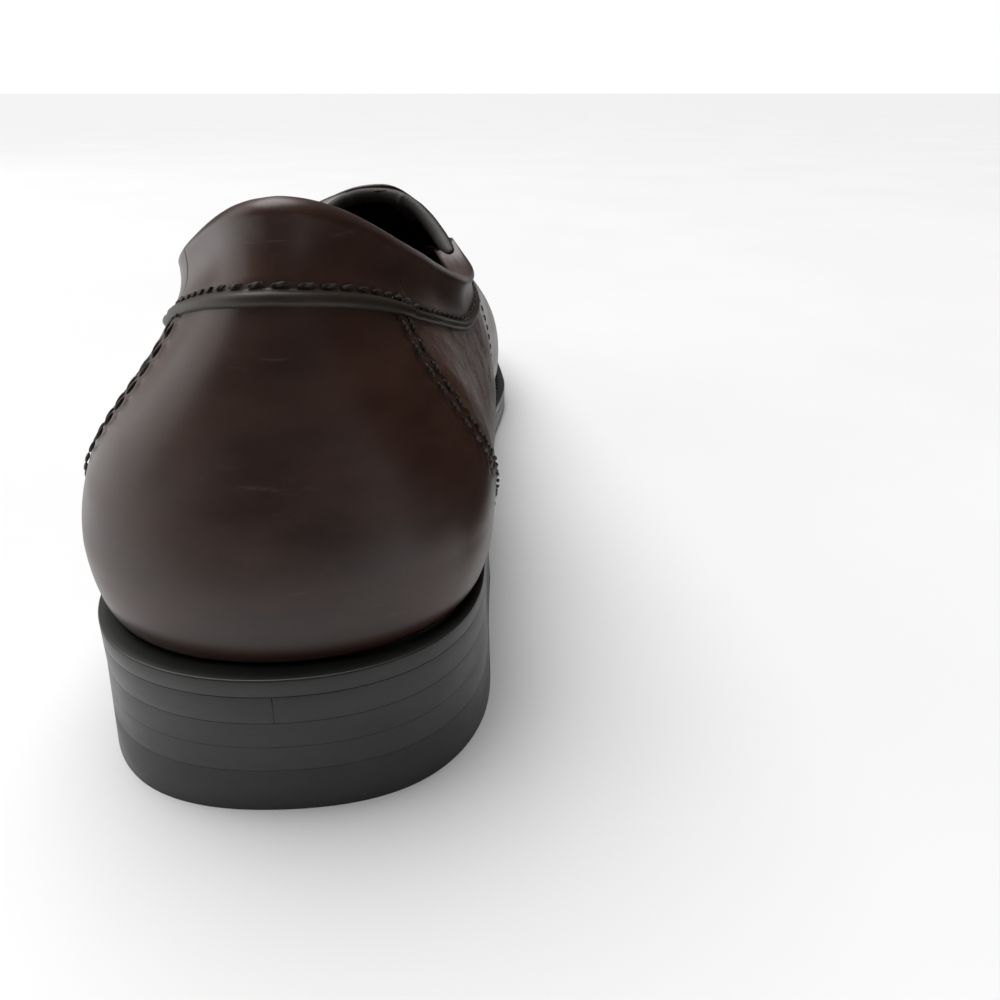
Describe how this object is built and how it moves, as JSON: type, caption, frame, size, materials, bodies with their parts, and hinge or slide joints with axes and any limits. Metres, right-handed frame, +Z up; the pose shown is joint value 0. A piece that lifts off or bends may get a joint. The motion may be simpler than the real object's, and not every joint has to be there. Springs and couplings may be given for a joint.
{
  "type": "penny loafer",
  "caption": "Left slip-on leather shoe with saddle strap, apron toe, hinged tongue, banded collar, welted sole and stacked heel.",
  "frame": {"origin": "centre of the bounding box at floor level", "axes": "+Z up, +Y from toe to heel, +X towards the outer (lateral) side of a left foot"},
  "size_m": [0.0958, 0.292, 0.0913],
  "materials": {
    "heel_leather": "polished dark burgundy brown box calf",
    "grain_leather": "polished dark brown calf with natural grain",
    "lining_leather": "matt near-black lining leather",
    "sole_leather": "black waxed edge leather",
    "heel_stack": "black satin stacked leatherboard",
    "top_rubber": "satin black rubber",
    "insole_board": "raw vegetable-tanned insole leather",
    "fibreboard": "matt leatherboard",
    "tape": "thin foam and reinforcing tape",
    "cork": "granulated cork",
    "steel": "ribbed shank steel",
    "brass": "bright"
  },
  "bodies": {
    "shoe": {"back_counter": "heel_leather", "counter_stiffener": "fibreboard", "collar_back": "heel_leather", "collar_lateral": "heel_leather", "collar_medial": "heel_leather", "topline_padding": "tape", "quarter_lateral": "grain_leather", "quarter_medial": "grain_leather", "saddle_strap": "heel_leather", "vamp": "grain_leather", "apron": "grain_leather", "toe_puff": "fibreboard", "heel_lining": "lining_leather", "quarter_lining_lateral": "lining_leather", "quarter_lining_medial": "lining_leather", "vamp_lining": "lining_leather", "heel_rand": "sole_leather", "welt": "sole_leather", "outsole": "sole_leather", "insole": "insole_board", "sock_lining": "lining_leather", "seat_filler": "fibreboard", "cork_filler": "cork", "shank": "steel", "top_lift": "top_rubber", "heel_lift_1": "heel_stack", "heel_lift_2": "heel_stack", "heel_nail_1": "brass", "heel_nail_2": "brass", "heel_nail_3": "brass", "heel_nail_4": "brass", "heel_nail_5": "brass"},
    "tongue_flap": {"tongue": "heel_leather", "tongue_lining": "lining_leather"}
  },
  "joints": [
    {"name": "tongue_hinge", "type": "hinge", "parent": "shoe", "child": "tongue_flap", "pos_m": [-0.0127, 0.0229, 0.0817], "axis": [1, 0, 0], "range_deg": [0, 35]}
  ]
}
